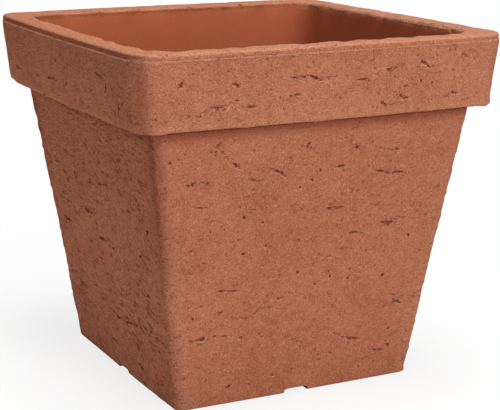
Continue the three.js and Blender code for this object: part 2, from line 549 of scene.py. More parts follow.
class ClaySheet(NodeSheet):
    """The clay's nodes: the zones that the pot's points carry, and the patterns of fired clay."""

    def __init__(self, clay: Terracotta) -> None:
        """Reads the zones and lays the patterns.

        Args:
            clay: The finish, which holds the patterns' sizes.
        """
        super().__init__(bpy.data.materials.new("terracotta"))
        self.clay = clay
        self.spot = self.place()
        self.inside, self.hollow, self.wear, self.coarse, self.painted_shade = map(self.attribute, CLAY_ZONES)
        self.outside = 1 - self.inside
        self.cloud = self.noise(self.spot, clay.cloud_cell, 3.0, 0.55)
        self.mottle = self.noise(self.spot, clay.mottle_cell, 4.0, 0.62)
        self.grain = self.noise(self.spot, clay.grain_cell, 2.0, 0.6)
        self.sand = self.noise(self.spot, clay.sand_cell, 1.0, 0.5)
        self.streak, self.pores, self.tears = self._streak(), self._pores(), self._tears()
        self.specks, self.pitted, self.pressed = self._specks(), self._pitted(), self._pressed()

    def colour(self) -> Socket:
        """The clay's colour, from its body tone up to the dark crust in the hollows, with painted shade in
        the hollows, at the corners and under the band, and painted highlights.

        Returns:
            The colour's socket.
        """
        clay = self.clay
        tone = (self.cloud - 0.5) * clay.cloud_share + (self.mottle - 0.5) * clay.mottle_share + 0.5
        tone += (self.grain - 0.5) * (self.coarse + clay.grain_share)
        tone += (self.streak - 0.5) * self.coarse * clay.streak_share
        # The marks sink the relief and take the rust colour: partly rusty clay, partly painted shade in their
        # recesses.
        marks = (self.pores * clay.pore_share).most(self.tears * clay.tear_share)
        marks = marks.most(self.pitted * clay.pitted_share).most(self.specks * clay.speck_share)
        dusty = self.sand.step(*clay.sand_dust_edge) * self.outside
        rusty = self.sand.step(*clay.sand_rust_edge) * self.outside
        coats = (
            (self.inside * clay.inner_share, clay.inner),
            # Dust with painted highlights: paler lit corners, band and lip top, brims and parting line.
            (self.wear * (clay.wear_share + self.sand * clay.sandy_wear_share), clay.dust_and_highlight),
            (dusty * clay.sand_dust_share, clay.dust_and_highlight),
            (rusty * clay.sand_rust_share, clay.rust_and_shade),
            (marks * self.outside, clay.rust_and_shade),
            # Painted shade in rust: the shaded strip, the corners' core shadow and the shadow under the band.
            (self.painted_shade * (0.5 + self.grain), clay.rust_and_shade),
            # Rust and crust in the hollows: partly the clay's darker crust, partly painted shade in the
            # recesses and the painted shade line under the band.
            (self.hollow.step(*clay.hollow_edge) * clay.hollow_rust_and_shade_share, clay.rust_and_shade),
            (self.pressed * (clay.crust_and_shade_share + self.hollow * clay.deep_crust_and_shade_share), clay.crust_and_shade),
        )
        colour = self.blend(tone, clay.dark, clay.light)
        for share, coat in coats:
            colour = self.blend(share, colour, coat)
        return colour

    def relief(self) -> Value:
        """Height of the fine relief, nearly smooth inside and stronger where the wear and the painted
        highlights lie.

        Returns:
            The height in millimetres.
        """
        clay, mottle, sand = self.clay, self.mottle - 0.5, self.sand - 0.5
        grains = mottle * clay.mottle_height + (self.grain - 0.5) * clay.grain_height
        grains += sand * clay.sand_height
        sunk = self.pores * clay.pore_depth + self.tears * clay.tear_depth + self.specks * clay.speck_depth
        sunk += self.pitted * clay.pitted_depth + self.pressed * clay.pressed_depth
        dragged = (self.streak - 0.5) * clay.streak_height + mottle * clay.coarse_mottle_height
        dragged += sand * clay.coarse_sand_height
        height = grains - sunk + self.coarse * dragged
        place_share = self.outside * (1 - clay.inner_relief) + clay.inner_relief
        return height * place_share * (self.wear * clay.wear_and_highlight_relief + 1)

    def _streak(self) -> Value:
        """Short strokes a little off level, where a side was dragged out of the mould.

        Returns:
            The strokes, between 0 and 1.
        """
        shaken = self._shaken(*self.clay.streak_shake)
        sockets = {"Vector": shaken, "Rotation": (-self.clay.drag_slant, 0.0, 0.0)}
        slanted = self.node("ShaderNodeMapping", sockets, vector_type="POINT").outputs[0]
        drawn_out = self.vector("MULTIPLY", slanted, self.clay.streak_stretch)
        return self.noise(drawn_out, self.clay.streak_cell, 3.0, 0.6)

    def _pores(self) -> Value:
        """Small ragged pinholes in some cells of a scattered pattern.

        Returns:
            The pinholes, 1 in their middle.
        """
        shaken = self._shaken(*self.clay.pore_shake)
        sockets = {"Vector": shaken, "Scale": 1 / self.clay.pore_cell, "Randomness": 1.0}
        cells = self.node("ShaderNodeTexVoronoi", sockets, voronoi_dimensions="3D", feature="F1")
        pick = self.node("ShaderNodeSeparateColor", {0: cells.outputs["Color"]})
        near = Value(self, cells.outputs["Distance"]).step(*self.clay.pore_edge)
        return near * Value(self, pick.outputs[0]).step(*self.clay.pore_pick_edge)

    def _tears(self) -> Value:
        """Thin level tears left where the damp clay dragged in the mould.

        Returns:
            The tears, 1 in their middle.
        """
        drag = self.noise(self._shaken(*self.clay.tear_shake), self.clay.tear_cell, 1.0, 0.5, 3.4)
        patch = self.noise(self.spot, self.clay.tear_patch_cell, 2.0, 0.6, 2.2)
        return abs(drag - 0.5).step(*self.clay.tear_edge) * patch.step(*self.clay.tear_patch_edge)

    def _specks(self) -> Value:
        """Clusters of tiny specks, fewer on the coarse sides.

        Returns:
            The specks, 1 in their middle.
        """
        cluster = self.noise(self.spot, self.clay.cluster_cell, 2.0, 0.6, 2.2).step(*self.clay.cluster_edge)
        specks = self.noise(self.spot, self.clay.speck_cell, 1.0, 0.5, 1.4).step(*self.clay.speck_edge)
        return specks * cluster * (1 - self.coarse * self.clay.coarse_speck_loss)

    def _pitted(self) -> Value:
        """Sunk patches between the strokes of the coarse sides."""
        patch = (self.noise(self.spot, self.clay.pitted_cell, 2.0, 0.6) - 0.5) * self.clay.pitted_patchiness
        return (self.streak + patch).step(*self.clay.pitted_edge) * self.coarse

    def _pressed(self) -> Value:
        """The ragged dark floors of the pressed hollows and of the painted shade line under the band, painted
        as crust and partly as painted shade.

        Returns:
            The floors, 1 where the crust and the painted shade are whole.
        """
        clay = self.clay
        ragged = (self.noise(self.spot, clay.ragged_cell, 3.0, 0.7, 1.6) - 0.5) * clay.pressed_raggedness
        floors = (self.hollow * clay.pressed_gain + ragged).step(*clay.pressed_edge)
        return floors * self.hollow.step(*clay.pressed_rim)

    def _shaken(self, cell: float, amount: float) -> Socket:
        """The pot's coordinates pushed about by fine noise.

        Args:
            cell: Size of the noise's blotches.
            amount: How far the coordinates are pushed.

        Returns:
            The coordinates.
        """
        sockets = {"Vector": self.spot, "Scale": 1 / cell}
        noise = self.node("ShaderNodeTexNoise", sockets, noise_dimensions="3D")
        centred = self.vector("SUBTRACT", noise.outputs["Color"], (0.5, 0.5, 0.5))
        return self.vector("ADD", self.spot, self.vector("MULTIPLY", centred, (amount,) * 3))


@dataclass(frozen=True)
class PlugRubber:
    """Black moulded rubber with a dusty bloom."""

    skin: Triple = linear(34, 32, 30)
    bloom: Triple = linear(92, 80, 70)
    patch_cell: float = 6 * MM
    grain_cell: float = 0.5 * MM
    patch_share: float = 0.35
    grain_share: float = 0.15
    grain_height: float = 0.06
    roughness: float = 0.62
    dusty_roughness: float = 0.4
    specular: float = 0.4

    def material(self) -> bpy.types.Material:
        """Builds the rubber material.

        Returns:
            The material.
        """
        sheet = NodeSheet(bpy.data.materials.new("plug_rubber"))
        place = sheet.place()
        patch = sheet.noise(place, self.patch_cell, 3.0, 0.6)
        grain = sheet.noise(place, self.grain_cell, 2.0, 0.6)
        dusty = patch.step(0.50, 0.80) * self.patch_share + grain.step(0.62, 0.80) * self.grain_share
        colour = sheet.blend(dusty, self.skin, self.bloom)
        roughness = dusty * self.dusty_roughness + self.roughness
        return sheet.surface(colour, roughness, self.specular, grain * self.grain_height)


# Marks on the clay


class Side(Enum):
    """A side of the pot, as the outward level direction of its faces."""

    FRONT = (0.0, -1.0)
    RIGHT = (1.0, 0.0)
    BACK = (0.0, 1.0)
    LEFT = (-1.0, 0.0)

    def outward(self) -> Vector:
        """The level direction away from the pot."""
        return Vector((*self.value, 0.0))

    def along(self) -> Vector:
        """The level direction to the right, seen from outside."""
        return Vector((-self.value[1], self.value[0], 0.0))


@dataclass(frozen=True)
class Hollow:
    """A long or round hollow in the skin, between two end points on it."""

    start: Vector
    end: Vector
    outward: Vector
    width: float
    depth: float

    def reach(self) -> float:
        """How far from its middle the hollow can move points."""
        return (self.end - self.start).length / 2 + self.width

    def middle(self) -> np.ndarray:
        """The point half way along."""
        return np.array((self.start + self.end) / 2)

    def frame(self) -> tuple[float, np.ndarray, np.ndarray]:
        """How the hollow lies in the skin.

        Returns:
            Its length, its direction, and the direction across it up the side.
        """
        outward, run = np.array(self.outward), np.array(self.end - self.start)
        length = float(np.linalg.norm(run))
        direction = run / length if length > 0 else np.cross(outward, (0.0, 0.0, -1.0))
        upward = np.cross(outward, direction)
        return length, direction, upward if upward[2] >= 0 else -upward


@dataclass(frozen=True)
class Pit:
    """A round pit by its picture point, with its size and depth in millimetres."""

    x: float
    y: float
    size: float
    depth: float


@dataclass(frozen=True)
class Tear:
    """A torn line by its two picture points, with its width and depth in millimetres."""

    x0: float
    y0: float
    x1: float
    y1: float
    width: float
    depth: float


def rows_of(kind: type, *rows: tuple[float, ...]) -> tuple[Any, ...]:
    """Pits or tears, one from each row of their values."""
    return tuple(kind(*row) for row in rows)


FRONT_PITS = rows_of(
    Pit,
    (163.8, 141.3, 1.8, 1.2), (166.3, 142.6, 1.8, 1.2), (236.7, 165.9, 3.0, 1.4), (170.0, 164.0, 2.0, 0.8),
    (241.0, 207.0, 2.0, 0.8), (244.0, 217.6, 2.6, 1.6), (263.0, 223.0, 2.4, 1.6), (225.0, 230.0, 1.8, 0.9),
    (300.0, 187.0, 2.0, 1.2), (312.5, 180.0, 2.4, 1.2), (328.5, 208.0, 2.0, 0.9), (202.5, 339.5, 4.4, 1.6),
    (241.5, 337.5, 2.2, 0.9), (243.0, 254.5, 2.2, 1.4), (193.3, 319.8, 2.2, 1.1), (265.5, 246.0, 2.0, 0.8),
    (297.5, 272.5, 2.2, 1.0), (330.0, 276.5, 2.2, 1.0), (347.7, 277.5, 2.2, 1.0), (349.7, 268.6, 2.2, 1.0),
    (323.0, 260.3, 2.0, 0.8), (314.6, 283.9, 2.2, 0.9), (382.8, 274.8, 3.2, 1.0), (388.5, 328.0, 2.4, 1.1),
    (330.0, 352.6, 2.0, 0.8), (272.0, 375.3, 2.6, 1.0), (278.5, 298.8, 2.4, 0.9), (409.0, 234.6, 3.0, 1.2),
    (182.8, 86.4, 2.8, 1.2), (204.0, 71.0, 2.0, 0.7), (331.5, 90.5, 1.6, 1.0), (311.5, 98.6, 1.6, 0.9),
    (421.5, 80.7, 2.2, 1.0),
)
FRONT_TEARS = rows_of(
    Tear,
    (213.5, 150.0, 224.0, 142.5, 2.4, 0.9), (214.0, 146.0, 223.0, 149.5, 2.0, 0.8),
    (232.0, 162.5, 240.5, 168.0, 1.8, 0.7), (273.5, 170.5, 279.0, 171.5, 2.6, 1.4),
    (278.0, 171.5, 286.5, 177.0, 1.8, 1.0), (249.0, 180.3, 266.0, 180.5, 1.6, 0.9),
    (189.0, 186.0, 199.0, 184.5, 5.0, 0.5), (203.0, 184.0, 211.0, 186.0, 4.2, 0.45),
    (305.5, 149.0, 310.0, 142.5, 2.6, 1.1), (354.0, 149.5, 361.0, 142.5, 2.8, 1.1),
    (373.0, 169.8, 393.5, 173.0, 2.2, 1.2), (393.0, 172.5, 404.0, 172.0, 1.6, 0.8),
    (382.0, 150.0, 400.0, 149.5, 1.6, 0.7), (334.5, 166.5, 346.0, 164.5, 2.0, 0.8),
    (195.0, 208.5, 203.0, 208.5, 2.0, 0.7), (297.0, 228.0, 309.0, 229.0, 2.2, 0.8),
    (327.0, 208.5, 341.5, 208.0, 2.8, 1.4), (378.5, 222.5, 397.0, 222.0, 2.0, 1.0),
    (346.0, 233.0, 360.0, 231.5, 1.6, 0.7), (214.0, 291.5, 240.0, 291.0, 1.4, 0.7),
    (188.0, 341.0, 200.0, 340.0, 2.2, 1.0), (206.0, 336.0, 232.0, 336.5, 1.4, 0.7),
    (216.0, 314.5, 223.0, 311.0, 1.8, 0.8), (332.0, 332.0, 345.0, 337.0, 2.0, 1.0),
    (345.0, 337.0, 358.0, 339.0, 2.2, 1.0), (384.0, 335.5, 396.0, 334.5, 1.6, 0.8),
    (392.5, 300.0, 400.5, 302.5, 2.2, 1.3), (370.0, 349.0, 384.0, 350.0, 2.0, 0.8),
    (226.0, 388.0, 232.0, 384.0, 1.8, 0.6), (209.0, 107.8, 226.0, 108.4, 2.0, 1.0),
    (233.0, 83.0, 239.5, 86.0, 2.4, 1.1), (244.0, 106.5, 256.0, 106.5, 2.2, 0.9),
    (288.0, 79.0, 310.0, 75.8, 2.2, 1.2), (309.0, 75.8, 323.0, 80.0, 2.2, 1.4),
    (290.0, 96.5, 302.0, 94.0, 2.2, 1.2), (357.0, 79.5, 372.0, 80.0, 2.2, 1.2),
    (386.0, 70.5, 396.5, 69.0, 2.4, 1.1), (397.0, 95.0, 408.5, 97.5, 2.6, 1.3),
    (422.0, 60.5, 430.5, 67.0, 2.2, 1.1), (450.0, 93.0, 459.0, 93.5, 1.8, 0.8),
    (381.0, 102.0, 387.0, 105.5, 2.0, 0.8), (184.0, 117.0, 192.0, 116.0, 2.0, 0.8),
)
LEFT_PITS = rows_of(
    Pit,
    (6.4, 29.0, 2.2, 1.1), (60.3, 54.8, 2.4, 1.2), (55.0, 60.5, 2.2, 0.9), (82.8, 64.0, 2.4, 1.2),
    (16.2, 72.8, 2.6, 1.6), (66.0, 84.0, 3.0, 1.2), (115.8, 108.4, 2.6, 1.7), (118.7, 103.8, 2.2, 1.3),
    (64.6, 120.7, 2.2, 1.6), (45.9, 149.7, 2.0, 1.4), (49.9, 148.8, 2.4, 1.7), (72.0, 270.5, 2.6, 1.2),
    (137.4, 181.9, 2.2, 1.0), (86.0, 303.5, 2.4, 1.1), (134.5, 335.5, 2.6, 1.3), (148.0, 334.5, 2.2, 1.2),
    (114.0, 248.5, 2.4, 1.1), (146.0, 232.5, 3.0, 1.6), (139.5, 257.0, 2.8, 1.4), (121.0, 293.5, 2.6, 1.2),
    (75.5, 211.0, 2.0, 1.0), (103.4, 92.0, 2.2, 1.0),
)
LEFT_TEARS = rows_of(
    Tear,
    (45.0, 76.5, 57.0, 79.8, 2.2, 1.2), (34.0, 73.5, 40.0, 75.5, 1.8, 0.8),
    (94.0, 73.0, 102.5, 79.5, 2.6, 1.3), (103.9, 84.0, 103.5, 90.0, 2.6, 1.1),
    (13.0, 65.0, 19.0, 68.5, 2.0, 0.9), (66.0, 112.0, 73.0, 113.5, 2.0, 0.8),
    (55.0, 160.0, 61.5, 163.0, 2.4, 0.9), (86.0, 181.0, 94.5, 184.5, 2.2, 1.1),
    (98.0, 182.0, 104.0, 186.0, 2.2, 1.0), (62.0, 184.0, 72.0, 192.0, 2.4, 0.9),
    (82.0, 206.0, 93.0, 213.5, 2.4, 1.3), (63.0, 215.5, 70.5, 221.5, 2.4, 1.4),
    (97.5, 236.5, 107.5, 241.0, 2.6, 1.2), (99.0, 256.0, 104.0, 260.0, 2.0, 0.8),
    (94.0, 284.0, 101.0, 290.0, 2.0, 0.8), (145.5, 294.0, 151.5, 301.5, 2.4, 1.5),
    (133.0, 291.5, 140.0, 296.0, 2.0, 0.8), (112.5, 310.0, 124.0, 321.0, 2.0, 1.0),
    (124.0, 320.0, 142.0, 329.0, 2.2, 1.1), (141.0, 325.0, 147.0, 331.0, 2.4, 1.1),
    (152.0, 337.5, 160.0, 341.0, 2.2, 1.0), (109.0, 334.0, 119.5, 344.0, 2.0, 0.9),
    (138.5, 362.5, 144.0, 371.5, 2.4, 1.1), (162.5, 344.0, 165.5, 350.0, 2.2, 1.1),
    (157.0, 348.0, 160.0, 354.0, 2.2, 1.0),
)
RIGHT_LIP_TEARS = rows_of(
    Tear,
    (383.3, 15.8, 405.0, 19.3, 1.4, 0.8), (406.0, 20.4, 410.5, 21.3, 2.2, 1.5),
    (418.5, 22.8, 428.5, 24.4, 2.0, 1.6), (427.5, 24.0, 440.0, 25.8, 1.6, 1.0),
    (437.0, 25.4, 452.5, 28.8, 2.0, 1.5), (449.5, 28.4, 455.5, 29.9, 2.2, 1.4),
)


# The pot


@dataclass(frozen=True)
class Station:
    """One level outline of the pot.

    Half is the half width at mid side, corner the corner radius, and bow how far
    each side swells between its corners.
    """

    half: float
    z: float
    corner: float
    bow: float


def round_stations(side: Station, radius: float, angles: Pair, steps: int) -> list[Station]:
    """Stations along a round between a level face and an upright one.

    Args:
        side: The outline where the round meets the upright face.
        radius: Radius of the round.
        angles: First and last angle. The upright face is at 0, or at half a turn where 0 isn't one of them.
        steps: Number of steps from the first to the last.

    Returns:
        The stations, both ends included.
    """
    setback = radius if 0.0 in angles else -radius
    stations = []
    for step in range(steps + 1):
        angle = angles[0] + (angles[1] - angles[0]) * step / steps
        across, up = radius * math.cos(angle), radius * math.sin(angle)
        half, corner = side.half - setback + across, side.corner - setback + across
        stations.append(Station(half, side.z + up, corner, side.bow))
    return stations


def strip_faces(low: int, high: int, count: int) -> list[tuple[int, ...]]:
    """Faces between two rings that have the same number of points.

    Args:
        low: The lower ring's first point.
        high: The upper ring's first point.
        count: Number of points of a ring.

    Returns:
        The faces.
    """
    pairs = ((j, (j + 1) % count) for j in range(count))
    return [(low + j, low + k, high + k, high + j) for j, k in pairs]


@dataclass
class PotShell:
    """The moulded pot: sloping body, deep rim band, rolled lip, planting space and drained base.

    Sizes, depths, lengths and widths of the pits and tears that a seed scatters are
    ranges in millimetres, and their slant is in degrees. The seen and hidden marks are
    how many pits and tears are scattered over a side that the photograph shows or not.
    """

    camera: PhotoCamera
    rim_width: float = 400 * MM
    height: float = 358 * MM
    base_width: float = 264 * MM
    wall: float = 10 * MM
    floor_thickness: float = 14 * MM
    rim_height: float = 71 * MM
    rim_taper: float = 5.3 * MM
    rim_overhang: float = 21 * MM
    rim_corner: float = 28 * MM
    rim_bow: float = 3 * MM
    lip_outer_round: float = 3 * MM
    lip_inner_round: float = 5 * MM
    rim_lower_round: float = 3 * MM
    under_rim_fillet: float = 1.5 * MM
    parting_drop: float = 6.5 * MM
    parting_proud: float = 0.8 * MM
    parting_height: float = 1.1 * MM
    parting_slope: float = 0.35 * MM
    strip_setback: float = 0.9 * MM
    body_bow: float = 2 * MM
    base_bow: float = 0.9 * MM
    straight_below: float = 190 * MM
    body_corner_top: float = 6 * MM
    body_corner_base: float = 8 * MM
    base_round: float = 3 * MM
    inner_corner_top: float = 28 * MM
    inner_corner_floor: float = 22 * MM
    floor_fillet: float = 10 * MM
    channel_width: float = 27 * MM
    channel_depth: float = 5 * MM
    channel_round: float = 3 * MM
    hole_diameter: float = 14 * MM
    hole_offset: float = 62 * MM
    tool_margin: float = 2 * MM
    hole_steps: int = 48
    side_steps: int = 86
    corner_steps: int = 12
    row_height: float = 4.0 * MM
    inner_share: int = 4
    seed: int = 11
    pit_spread: float = 1.25
    pit_deepening: float = 1.2
    tear_spread: float = 1.2 * MM
    lip_tear_drop: float = 2 * MM
    pit_sizes: Pair = (1.6, 2.8)
    pit_depths: Pair = (0.7, 1.4)
    tear_lengths: Pair = (5, 17)
    tear_widths: Pair = (1.6, 2.6)
    tear_depths: Pair = (0.6, 1.2)
    tear_slant: float = 12
    seen_marks: tuple[int, int] = (8, 4)
    hidden_marks: tuple[int, int] = (20, 20)
    coarse_margin: float = 1.6 * MM
    fine_margin: float = 0.4 * MM
    sharp_edge: float = math.radians(58)
    hollows: list[Hollow] = field(default_factory=list)

    @property
    def rim_half(self) -> float:
        """Half the width across the rim."""
        return self.rim_width / 2

    @property
    def rim_underside(self) -> float:
        """Height of the underside of the rim band."""
        return self.height - self.rim_height

    @property
    def body_slope(self) -> float:
        """How much the half width of the body grows for each metre of height."""
        top_half = self.rim_half - self.rim_taper - self.rim_overhang
        return (top_half - self.base_width / 2) / self.rim_underside

    @property
    def rim_slope(self) -> float:
        """How much the half width of the band grows for each metre of height."""
        return self.rim_taper / self.rim_height

    def outer_half(self, z: Number) -> Number:
        """Half width of the body's outside at a height."""
        return self.base_width / 2 + self.body_slope * z

    def inner_half(self, z: Number) -> Number:
        """Half width of the planting space at a height."""
        return self.outer_half(z) - self.wall

    def band_half(self, z: Number) -> Number:
        """Half width of the rim band's face at a height."""
        return self.rim_half - self.rim_slope * (self.height - z)

    def body_corner(self, z: float) -> float:
        """Corner radius of the body at a height."""
        return self.body_corner_base + (self.body_corner_top - self.body_corner_base) * z / self.rim_underside

    def bow_at(self, z: float) -> float:
        """Swell of the body's sides at a height, less towards the base."""
        share = float(smooth_step(z, 0.0, self.straight_below))
        return self.base_bow + (self.body_bow - self.base_bow) * share

    def inner_corner(self, z: float) -> float:
        """Corner radius of the planting space at a height."""
        share = (z - self.floor_thickness) / (self.height - self.floor_thickness)
        return self.inner_corner_floor + (self.inner_corner_top - self.inner_corner_floor) * share

    def rows(self, start: float, end: float) -> list[float]:
        """Heights after start, about one row apart, up to and with end."""
        count = max(1, round(abs(end - start) / self.row_height))
        return [start + (end - start) * step / count for step in range(1, count + 1)]

    def outer_stations(self) -> list[Station]:
        """The outside from the base edge up to the inner edge of the lip.

        Returns:
            The outlines in order.
        """
        low = self.base_round
        base = Station(self.outer_half(low), low, self.body_corner_base, self.base_bow)
        stations = round_stations(base, low, (-QUARTER_TURN, 0.0), 4)
        fillet, bow = self.under_rim_fillet, self.body_bow
        start = self.rim_underside - fillet
        for z in self.rows(low, start):
            stations.append(Station(self.outer_half(z), z, self.body_corner(z), self.bow_at(z)))
        for step in range(1, 5):
            angle = QUARTER_TURN * step / 4
            across, z = fillet * (1 - math.cos(angle)), start + fillet * math.sin(angle)
            stations.append(Station(self.outer_half(start) + across, z, self.body_corner_top + across, bow))
        middle_half = (self.outer_half(start) + fillet + self.rim_half - self.rim_taper) / 2
        stations.append(Station(middle_half, self.rim_underside, self.body_corner_top * 2, bow))
        lower_z = self.rim_underside + self.rim_lower_round
        lower = Station(self.band_half(lower_z), lower_z, self.rim_corner, self.rim_bow)
        stations += round_stations(lower, self.rim_lower_round, (-QUARTER_TURN, 0.0), 6)
        stations += self._ridge_stations(lower_z)
        edge_z, setback = self.height - self.lip_outer_round, self.strip_setback
        edge = Station(self.band_half(edge_z) - setback, edge_z, self.rim_corner - setback, self.rim_bow)
        stations += round_stations(edge, self.lip_outer_round, (0.0, QUARTER_TURN), 5)
        mouth_z = self.height - self.lip_inner_round
        mouth = Station(self.inner_half(mouth_z), mouth_z, self.inner_corner_top, bow)
        inner = round_stations(mouth, self.lip_inner_round, (QUARTER_TURN, 2 * QUARTER_TURN), 7)
        last, first = stations[-1], inner[0]
        half, corner = (last.half + first.half) / 2, (last.corner + first.corner) / 2
        return [*stations, Station(half, self.height, corner, (last.bow + first.bow) / 2), *inner]

    def _ridge_stations(self, lower_z: float) -> list[Station]:
        """The band's face, the raised parting line and the foot of the strip above it.

        Args:
            lower_z: Height at which the band's face starts.

        Returns:
            The outlines in order.
        """
        parting_z, half_height = self.height - self.parting_drop, self.parting_height / 2
        foot = parting_z - half_height - self.parting_slope
        outlines = [(z, 0.0) for z in self.rows(lower_z, foot)[:-1]]
        outlines += [
            (foot, 0.0),
            (parting_z - half_height, self.parting_proud),
            (parting_z + half_height, self.parting_proud),
            (parting_z + half_height + self.parting_slope, -self.strip_setback),
        ]
        corner, bow = self.rim_corner, self.rim_bow
        return [Station(self.band_half(z) + out, z, corner + out, bow) for z, out in outlines]

    def inner_stations(self) -> list[Station]:
        """The planting space from below the lip to the edge of its floor.

        Returns:
            The outlines in order.
        """
        top, bow = self.floor_thickness + self.floor_fillet, self.body_bow
        wall = self.rows(self.height - self.lip_inner_round, top)[:: self.inner_share]
        stations = [Station(self.inner_half(z), z, self.inner_corner(z), bow) for z in wall]
        side = Station(self.inner_half(top), top, self.inner_corner(top), bow)
        return stations + round_stations(side, self.floor_fillet, (0.0, -QUARTER_TURN), 5)

    def ring(self, station: Station, share: int = 1) -> np.ndarray:
        """The points of a level outline, counter-clockwise seen from above.

        Args:
            station: The outline.
            share: One point in this many is kept.

        Returns:
            Rows of x, y, z.
        """
        corner = max(station.corner, 0.5 * MM)
        corner_half = station.half - station.bow
        straight = corner_half - corner
        along = np.linspace(-1, 1, self.side_steps, endpoint=False)
        side = np.stack([corner_half + station.bow * (1 - along**2), along * straight], axis=1)
        angles = np.linspace(0, QUARTER_TURN, self.corner_steps, endpoint=False)
        arc = np.stack([straight + corner * np.cos(angles), straight + corner * np.sin(angles)], axis=1)
        quarter = np.concatenate([side, arc])
        turned = []
        for c, s in ((1, 0), (0, 1), (-1, 0), (0, -1)):
            turned.append(quarter @ np.array([[c, s], [-s, c]], float))
        flat = np.concatenate(turned)[::share]
        return np.column_stack([flat, np.full(len(flat), station.z)])

    def loft(self) -> bpy.types.Object:
        """The closed skin before its base is cut and its surface is roughened.

        Returns:
            The pot.
        """
        outer = [self.ring(station) for station in self.outer_stations()]
        inner = [self.ring(station, self.inner_share) for station in self.inner_stations()]
        points = np.concatenate(outer + inner)
        count, few = len(outer[0]), len(inner[0])
        faces: list[tuple[int, ...]] = [tuple(reversed(range(count)))]
        for row in range(len(outer) - 1):
            faces += strip_faces(row * count, (row + 1) * count, count)
        last = (len(outer) - 1) * count
        first_inner = len(outer) * count
        for j in range(few):
            fine = [last + (j * self.inner_share + k) % count for k in range(self.inner_share + 1)]
            faces.append((*fine, first_inner + (j + 1) % few, first_inner + j))
        for row in range(len(inner) - 1):
            faces += strip_faces(first_inner + row * few, first_inner + (row + 1) * few, few)
        floor = first_inner + (len(inner) - 1) * few
        faces.append(tuple(floor + j for j in range(few)))
        mesh = bpy.data.meshes.new("pot_moulding")
        mesh.from_pydata(points.tolist(), [], faces)
        return make_object("pot_moulding", mesh)

    def drain_tool(self) -> bpy.types.Object:
        """The solid that is cut from the base: two crossing channels and four holes.

        Returns:
            The tool.
        """
        tool = self._channel_tool(False)
        apply_tool(tool, self._channel_tool(True), ToolUse.JOIN)
        for side in (Side.RIGHT, Side.BACK, Side.LEFT, Side.FRONT):
            apply_tool(tool, self._hole_tool(side), ToolUse.JOIN)
        return tool

    def _channel_tool(self, deep: bool) -> bpy.types.Object:
        """A bar with rounded shoulders that runs right across the base.

        Args:
            deep: Whether it runs from front to back and not from left to right.

        Returns:
            The tool.
        """
        half, top, soft = self.channel_width / 2, self.channel_depth, self.channel_round
        reach = self.base_width / 2 + self.tool_margin
        profile = [(-half, -self.tool_margin), (half, -self.tool_margin)]
        for sign, steps in ((1, range(6)), (-1, reversed(range(6)))):
            for step in steps:
                angle = QUARTER_TURN * step / 5
                z = top - soft + soft * math.sin(angle)
                profile.append((sign * (half - soft + soft * math.cos(angle)), z))
        count = len(profile)
        points = [(-x, end, z) if deep else (end, x, z) for end in (-reach, reach) for x, z in profile]
        faces = [tuple(range(count)), tuple(reversed(range(count, 2 * count)))]
        faces += [(j, j + count, (j + 1) % count + count, (j + 1) % count) for j in range(count)]
        mesh = bpy.data.meshes.new("channel_tool")
        mesh.from_pydata(points, [], faces)
        with edited(mesh) as work:
            bmesh.ops.recalc_face_normals(work, faces=work.faces)
        return make_object("channel_tool", mesh)

    def _hole_tool(self, side: Side) -> bpy.types.Object:
        """A round bar through the floor at the drain towards a side.

        Args:
            side: The side.

        Returns:
            The tool.
        """
        mesh = bpy.data.meshes.new("hole_tool")
        place = (self.hole_offset * side.value[0], self.hole_offset * side.value[1], self.floor_thickness / 2)
        radius, depth = self.hole_diameter / 2, self.floor_thickness + 2 * self.tool_margin
        form = {"cap_ends": True, "segments": self.hole_steps, "radius1": radius, "radius2": radius}
        with edited(mesh) as work:
            bmesh.ops.create_cone(work, depth=depth, **form)
            bmesh.ops.translate(work, verts=work.verts, vec=place)
        return make_object("hole_tool", mesh)

    def picture_point(self, side: Side, x: float, y: float) -> Vector | None:
        """Where a sight line of the photograph meets a side of the pot.

        Args:
            side: The side that the picture point shows.
            x: Pixels from the left edge.
            y: Pixels from the top edge.

        Returns:
            The point on the band or the body, or None where the line misses both.
        """
        origin, ray = Vector(self.camera.location), self.camera.ray(x, y)
        for slope, half, low, high in (
            (self.rim_slope, self.band_half(0.0), self.rim_underside, self.height),
            (self.body_slope, self.outer_half(0.0), 0.0, self.rim_underside),
        ):
            normal = side.outward() - Vector((0, 0, slope))
            point = origin + ray * ((half - normal.dot(origin)) / normal.dot(ray))
            if low <= point.z <= high:
                return point
        return None

    def mark_from_picture(self, side: Side, pits: Sequence[Pit], tears: Sequence[Tear]) -> None:
        """Adds the hollows that the photograph shows on a side.

        Args:
            side: The side.
            pits: Its pits.
            tears: Its tears.
        """
        for pit in pits:
            point = self.picture_point(side, pit.x, pit.y)
            if point is not None:
                size, depth = pit.size * self.pit_spread * MM, pit.depth * self.pit_deepening * MM
                self.hollows.append(Hollow(point, point, side.outward(), size, depth))
        for tear in tears:
            start = self.picture_point(side, tear.x0, tear.y0)
            end = self.picture_point(side, tear.x1, tear.y1)
            if start is not None and end is not None:
                width = tear.width * MM + self.tear_spread
                self.hollows.append(Hollow(start, end, side.outward(), width, tear.depth * MM))

    def mark_lip(self, side: Side, tears: Sequence[Tear]) -> None:
        """Adds the tears that the photograph shows along the lip's inner edge.

        Args:
            side: The side that the edge belongs to.
            tears: The tears.
        """
        origin = Vector(self.camera.location)
        inward = (Vector((0, 0, 1)) - side.outward()).normalized()
        for tear in tears:
            rays = (self.camera.ray(tear.x0, tear.y0), self.camera.ray(tear.x1, tear.y1))
            ends = [origin + ray * ((self.height - self.lip_tear_drop - origin.z) / ray.z) for ray in rays]
            self.hollows.append(Hollow(*ends, inward, tear.width * MM, tear.depth * MM))

